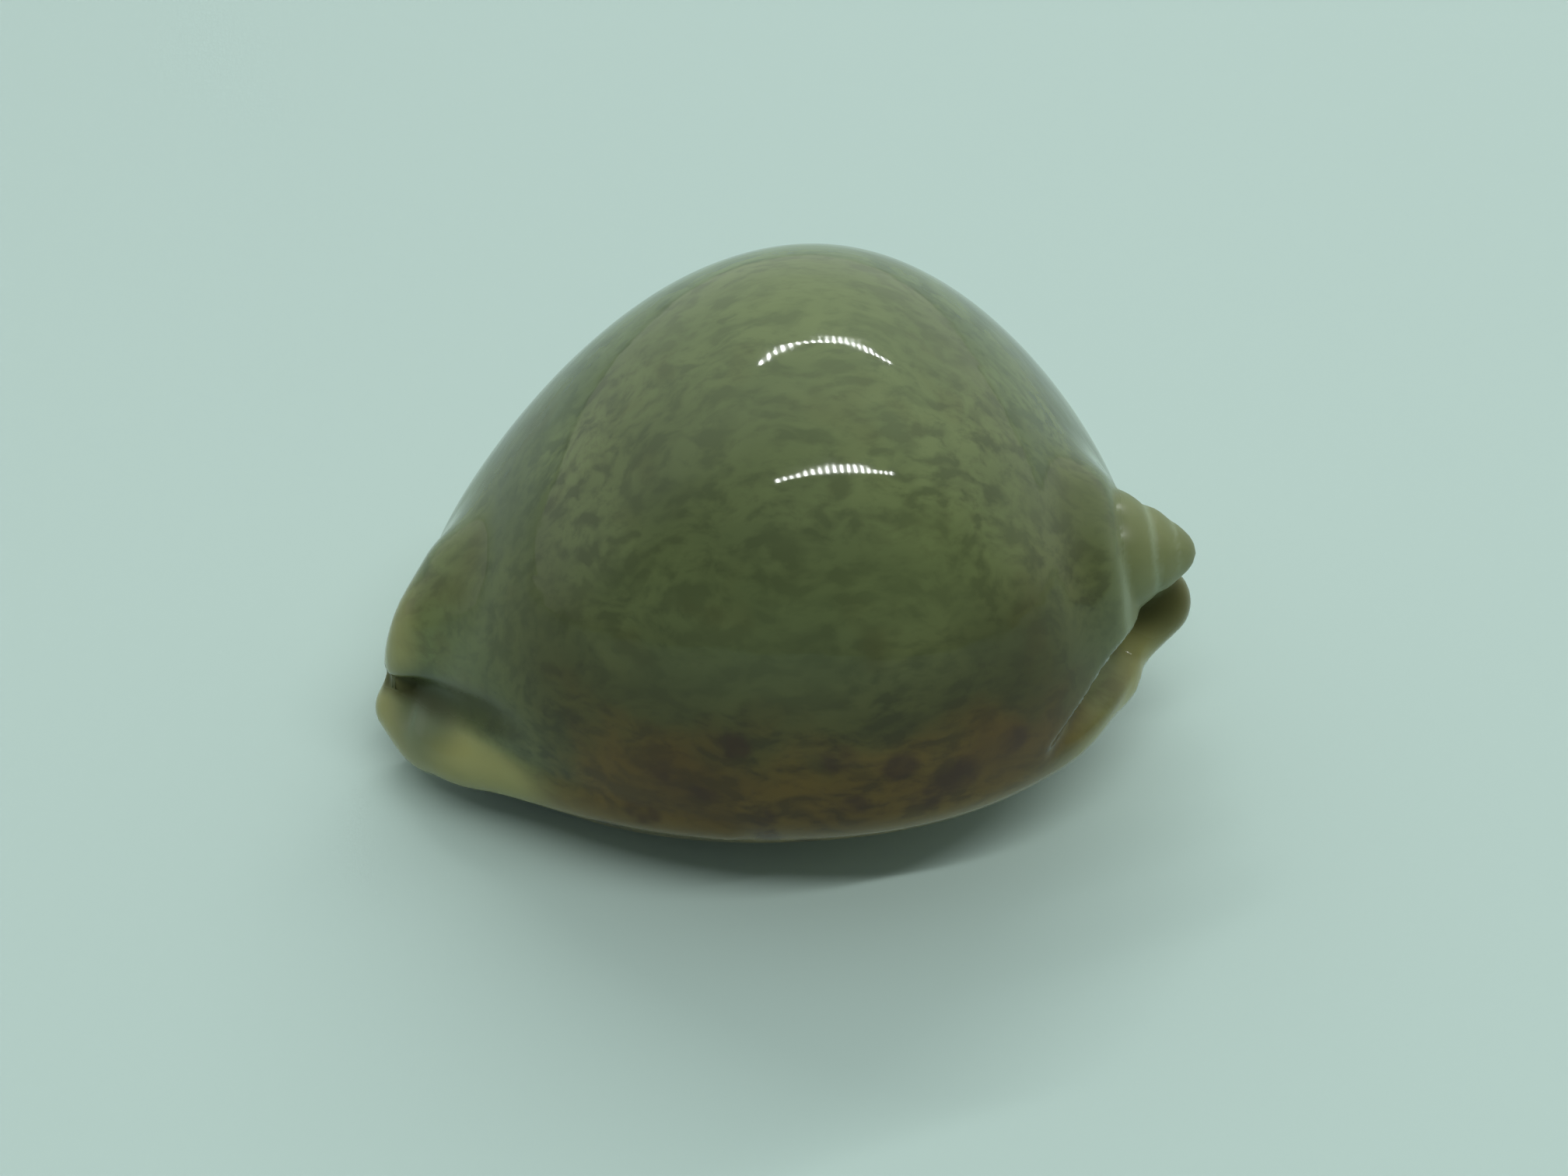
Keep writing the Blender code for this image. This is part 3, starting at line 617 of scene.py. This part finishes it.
def spire_masks(x, y, z):
    """The spire, and the seam that winds around it."""
    depth, across, rise = spire_frame(x, y, z)
    off_axis = np.sqrt(across * across + rise * rise)
    spire = ramp(*SPIRE_DEPTHS, depth) * ramp(*SPIRE_RADII, off_axis) * ramp(*SPIRE_HEIGHTS, z)
    part = whorl_part(depth, across, rise)
    seam = spire * ramp(*SEAM_EDGE, np.minimum(part, 1.0 - part)) * ramp(*SEAM_RADII, off_axis)
    return spire, seam


def painted_reflection_mask(x, y, z):
    """A painted dark reflection in the middle of the near side, longer along the shell."""
    squeezed = PAINTED_REFLECTION_CENTRE[0] + PAINTED_REFLECTION_SQUEEZE * (x - PAINTED_REFLECTION_CENTRE[0])
    return ramp(*PAINTED_REFLECTION_RADII, distance_to(PAINTED_REFLECTION_CENTRE, squeezed, y, z))


def mark_zones(shell):
    """Keeps with the mesh where its colours lie, from the same rules as its shape."""
    x, y, z = to_shell(mesh_points(shell.data)).T
    spire, seam = spire_masks(x, y, z)
    masks = {
        "base": ramp(*BASE_HEIGHTS, z),
        "ends": ends_mask(x, y, z),
        "inside": ramp(*INSIDE_DEPTHS, -outside_distance(x, y, z)),
        # Painted shade in the furrow and the pit
        "furrow_shade": furrow_and_pit_shade_mask(x, y, z),
        "spire": spire,
        "spots": spots_mask(x, y, z),
        "wash": ramp(*WASH_HEIGHTS, z) * ramp(*WASH_REACH, np.abs(x - WASH_MIDDLE)),
        "seam": seam,
        "lobe_top": ramp(*LOBE_TOP_RADII, distance_to(LOBE_TOP_CENTRE, x, y, z)),
        "crown": ramp(*CROWN_HEIGHTS, z),
        # Darker down the sides, partly painted shade
        "side": ramp(*SIDE_HEIGHTS, z) * ramp(*SIDE_REACH, np.abs(x - SIDE_MIDDLE)),
        # A painted dark reflection on the hump
        "painted_reflection": painted_reflection_mask(x, y, z),
    }
    for name, held in LAYERS:
        layer = shell.data.attributes.new(name, "FLOAT_COLOR", "POINT")
        values = np.stack([masks[mask] for mask in held] + [np.ones_like(x)], axis=1)
        layer.data.foreach_set("color", values.astype(np.float32).ravel())


class Shader:
    """Short calls for building a node tree."""

    # The Mix node's sockets that carry colours
    MIX_A, MIX_B, MIX_RESULT = 6, 7, 2

    def __init__(self, tree):
        self.tree = tree

    def node(self, kind, **sockets):
        """A new node with its inputs fed, each by its name."""
        made = self.tree.nodes.new(kind)
        for name, value in sockets.items():
            self.feed(made.inputs[name.replace("_", " ")], value)
        return made

    def feed(self, socket, value):
        """Links another node's output to an input, or sets its value."""
        if isinstance(value, bpy.types.NodeSocket):
            self.tree.links.new(value, socket)
        else:
            socket.default_value = value

    def math(self, operation, a, b=0.0, clamp=True):
        """One operation on two values, kept between 0 and 1 unless asked otherwise."""
        made = self.tree.nodes.new("ShaderNodeMath")
        made.operation = operation
        made.use_clamp = clamp
        self.feed(made.inputs[0], a)
        self.feed(made.inputs[1], b)
        return made.outputs[0]

    def ramp(self, value, low, high, start=0.0, end=1.0):
        """Start at low and end at high, smooth between."""
        made = self.tree.nodes.new("ShaderNodeMapRange")
        made.interpolation_type = "SMOOTHSTEP"
        self.feed(made.inputs["Value"], value)
        for name, number in zip(("From Min", "From Max", "To Min", "To Max"), (low, high, start, end)):
            self.feed(made.inputs[name], number)
        return made.outputs[0]

    def mix(self, factor, a, b, blend="MIX"):
        """The first colour, with the second mixed or blended in by a factor."""
        made = self.tree.nodes.new("ShaderNodeMix")
        made.data_type = "RGBA"
        made.blend_type = blend
        self.feed(made.inputs[0], factor)
        self.feed(made.inputs[self.MIX_A], a)
        self.feed(made.inputs[self.MIX_B], b)
        return made.outputs[self.MIX_RESULT]

    def noise(self, vector, scale, detail, roughness):
        """Noise values with the same scale on every side."""
        made = self.node("ShaderNodeTexNoise", Vector=vector, Scale=scale, Detail=detail, Roughness=roughness)
        return made.outputs["Fac"]

    def streaks(self, vector, scales, detail, roughness):
        """Noise values with a scale for each direction."""
        stretched = self.node("ShaderNodeMapping", Vector=vector, Scale=scales).outputs[0]
        return self.noise(stretched, 1.0, detail, roughness)

    def bent(self, vector):
        """A vector shifted here and there by noise."""
        made = self.node("ShaderNodeTexNoise", Vector=vector, Scale=BEND_SCALE)
        return self.mix(BEND, vector, made.outputs["Color"], "ADD")

    def attribute(self, name):
        """The three masks of a layer kept with the mesh."""
        made = self.tree.nodes.new("ShaderNodeAttribute")
        made.attribute_name = name
        return self.node("ShaderNodeSeparateColor", Color=made.outputs["Color"]).outputs

    def share(self, mask, part):
        """A part of a mask."""
        return self.math("MULTIPLY", mask, part)

    def shades(self, value, pair, edges=SHADE_EDGES):
        """A colour between a darker and a paler shade, by a noise value."""
        return self.mix(self.ramp(value, *edges), srgb(*pair[0]), srgb(*pair[1]))

    def toned(self, mask, colour, tone, blend="MIX"):
        """A colour with a tone laid over it where a mask is."""
        return self.mix(self.share(mask, tone[3]), colour, srgb(*tone[:3]), blend)


def srgb(red, green, blue):
    """A display colour as the linear colour that the shader takes."""
    return tuple(((c + 0.055) / 1.055) ** 2.4 if c > 0.04 else c / 12.92 for c in (red, green, blue)) + (1.0,)


def dab_pattern(s, place, bent, painted_reflection):
    """Soft dabs and finer strokes in loose rows along the shell, stronger in crowds and where the painted
    dark reflection lies.
    """
    dabs = s.ramp(s.streaks(bent, *DAB_STREAKS), *DAB_EDGES)
    strokes = s.ramp(s.streaks(bent, *STROKE_STREAKS), *STROKE_EDGES)
    both = s.math("ADD", dabs, s.share(strokes, STROKE_SHARE))
    crowds = s.math("ADD", s.streaks(place, *CROWD_STREAKS), s.share(painted_reflection, PAINTED_REFLECTION_CROWDING))
    return s.math("MULTIPLY", both, s.ramp(crowds, *CROWD_STRENGTHS))


def back_colour(s, masks, broad, stray, dabs):
    """Dabbed olive, paler at the crown, darker under a painted dark reflection, darker down the sides partly
    by painted shade, and brown low on them.
    """
    colour = s.mix(dabs, s.shades(broad, OLIVE), srgb(*DAB_TONE))
    colour = s.toned(s.ramp(stray, *STRAY_EDGES), colour, STRAY_TONE)
    colour = s.toned(masks["crown"], colour, CROWN_TONE)
    # Painted dark reflection on the near side of the hump
    colour = s.toned(masks["painted_reflection"], colour, PAINTED_REFLECTION_TONE)
    # Darker and browner down the sides: partly the shell's own colour, partly painted shade
    colour = s.toned(masks["side"], colour, SIDE_TINT_AND_SHADE, "MULTIPLY")
    brown = s.mix(dabs, s.shades(broad, BROWN, BROWN_EDGES), srgb(*BROWN_DAB_TONE))
    ragged = s.math("ADD", masks["wash"], s.ramp(stray, *WASH_RAGGEDNESS))
    return s.mix(s.share(s.ramp(ragged, *WASH_EDGES), WASH_SHARE), colour, brown)


def shell_colour(s, masks, place):
    """The enamel's colour all over the shell."""
    broad = s.streaks(place, *BROAD_STREAKS)
    stray = s.noise(place, *STRAY_NOISE)
    bent = s.bent(place)
    dabs = dab_pattern(s, place, bent, masks["painted_reflection"])
    colour = s.mix(masks["base"], back_colour(s, masks, broad, stray, dabs), s.shades(broad, FAWN))
    colour = s.mix(s.share(masks["ends"], ENDS_SHARE), colour, s.shades(broad, CREAM))
    colour = s.toned(masks["lobe_top"], colour, LOBE_TOP_TONE)
    # Painted shade darkens the furrow and the pit
    colour = s.toned(masks["furrow_shade"], colour, FURROW_SHADE_TONE)
    colour = s.mix(s.share(masks["spire"], SPIRE_SHARE), colour, s.shades(broad, SPIRE_SHADES))
    colour = s.toned(masks["seam"], colour, SEAM_TONE)
    blurred = s.math("MULTIPLY", masks["spots"], s.ramp(s.noise(bent, *BLUR_NOISE), *SPOT_BLUR))
    colour = s.toned(s.ramp(blurred, *SPOT_EDGES), colour, SPOT_TONE)
    return s.mix(masks["inside"], colour, srgb(*INSIDE_TONE))


def shell_material():
    """Olive mottled enamel, fawn below, cream at the ends and dark inside."""
    material = bpy.data.materials.new("cowrie_enamel")
    material.use_nodes = True
    tree = material.node_tree
    shader = tree.nodes["Principled BSDF"]
    s = Shader(tree)
    place = tree.nodes.new("ShaderNodeTexCoord").outputs["Object"]
    masks = {mask: socket for name, held in LAYERS for mask, socket in zip(held, s.attribute(name))}
    s.feed(shader.inputs["Base Color"], shell_colour(s, masks, place))
    gloss = s.ramp(s.noise(place, *GLOSS_NOISE), *SHADE_EDGES, *ENAMEL_ROUGHNESS)
    dull = s.share(s.math("MAXIMUM", masks["spire"], masks["furrow_shade"]), DULLNESS)
    s.feed(shader.inputs["Roughness"], s.math("ADD", gloss, dull))
    specular = s.ramp(masks["furrow_shade"], 0.0, 1.0, ENAMEL_SPECULAR, FURROW_SPECULAR)
    s.feed(shader.inputs["Specular IOR Level"], specular)
    shader.inputs["IOR"].default_value = ENAMEL_IOR
    ripple = s.streaks(place, *RIPPLE_STREAKS)
    bump = s.node("ShaderNodeBump", Strength=RIPPLE_STRENGTH, Distance=RIPPLE_DEPTH, Height=ripple)
    s.feed(shader.inputs["Normal"], bump.outputs[0])
    return material


def floor_material():
    """A plain pale matt floor."""
    material = bpy.data.materials.new("pale_floor")
    material.use_nodes = True
    tree = material.node_tree
    shader = tree.nodes["Principled BSDF"]
    s = Shader(tree)
    tone = s.noise(tree.nodes.new("ShaderNodeTexCoord").outputs["Object"], *FLOOR_NOISE)
    s.feed(shader.inputs["Base Color"], s.mix(tone, srgb(*FLOOR_SHADES[0]), srgb(*FLOOR_SHADES[1])))
    shader.inputs["Roughness"].default_value = FLOOR_ROUGHNESS
    return material


def add_floor():
    """A large floor under the shell."""
    bpy.ops.mesh.primitive_plane_add(size=FLOOR_SIZE, location=(0.0, 0.0, 0.0))
    floor = bpy.context.object
    floor.name = "floor"
    floor.data.materials.append(floor_material())


def add_camera():
    """The camera where the photographer's was."""
    data = bpy.data.cameras.new("camera")
    data.sensor_width = SENSOR_WIDTH
    data.lens = LENS
    data.shift_x = CAMERA_SHIFT_X
    data.shift_y = CAMERA_SHIFT_Y
    data.clip_start = CLIP_START
    camera = bpy.data.objects.new("camera", data)
    camera.location = CAMERA_PLACE
    camera.rotation_euler = tuple(math.radians(angle) for angle in CAMERA_TURN)
    bpy.context.scene.collection.objects.link(camera)
    bpy.context.scene.camera = camera


def add_tube(name, start, end, power, beads):
    """A long thin ceiling light between two points, shining down, with a row of brighter beads."""
    start, end = Vector(start), Vector(end)
    data = bpy.data.lights.new(name, "AREA")
    data.shape = "RECTANGLE"
    data.size = (end - start).length
    data.size_y = TUBE_WIDTH
    data.energy = power
    data.color = TUBE_COLOUR
    data.use_nodes = True
    s = Shader(data.node_tree)
    across = data.node_tree.nodes.new("ShaderNodeNewGeometry").outputs["Parametric"]
    parts = s.node("ShaderNodeSeparateXYZ", Vector=across)
    wave = s.math("SINE", s.math("MULTIPLY", parts.outputs["X"], 2.0 * math.pi * beads, False))
    glow = s.math("ADD", s.math("MULTIPLY", wave, BEAD_GLOW, False), LEAST_GLOW, False)
    s.feed(data.node_tree.nodes["Emission"].inputs["Strength"], glow)
    light = bpy.data.objects.new(name, data)
    light.location = (start + end) / 2.0
    along = (end - start).normalized()
    light.rotation_euler = (0.0, 0.0, math.atan2(along.y, along.x))
    bpy.context.scene.collection.objects.link(light)


def add_world():
    """Soft pale surroundings, darker on the camera's side."""
    world = bpy.data.worlds.new("surroundings")
    bpy.context.scene.world = world
    world.use_nodes = True
    s = Shader(world.node_tree)
    direction = world.node_tree.nodes.new("ShaderNodeTexCoord").outputs["Generated"]
    parts = s.node("ShaderNodeSeparateXYZ", Vector=direction)
    behind = s.ramp(parts.outputs["Y"], SIDE_CHANGE_FROM, SIDE_CHANGE_TO)
    dark_side = s.mix(s.ramp(parts.outputs["Z"], 0.0, LOW_ENDS_AT), DARK_SIDE_LOW, DARK_SIDE)
    shade = world.node_tree.nodes["Background"]
    s.feed(shade.inputs["Color"], s.mix(behind, dark_side, PALE_SIDE))
    shade.inputs["Strength"].default_value = WORLD_STRENGTH


add_camera()
shell = fine_shell(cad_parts["cowrie_shell"])
mark_zones(shell)
shell.data.materials.append(shell_material())
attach(shell, "root")
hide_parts("cowrie_shell")

add_floor()
add_world()
for tube in TUBES:
    add_tube(*tube)
bpy.context.scene.view_settings.view_transform = "Standard"
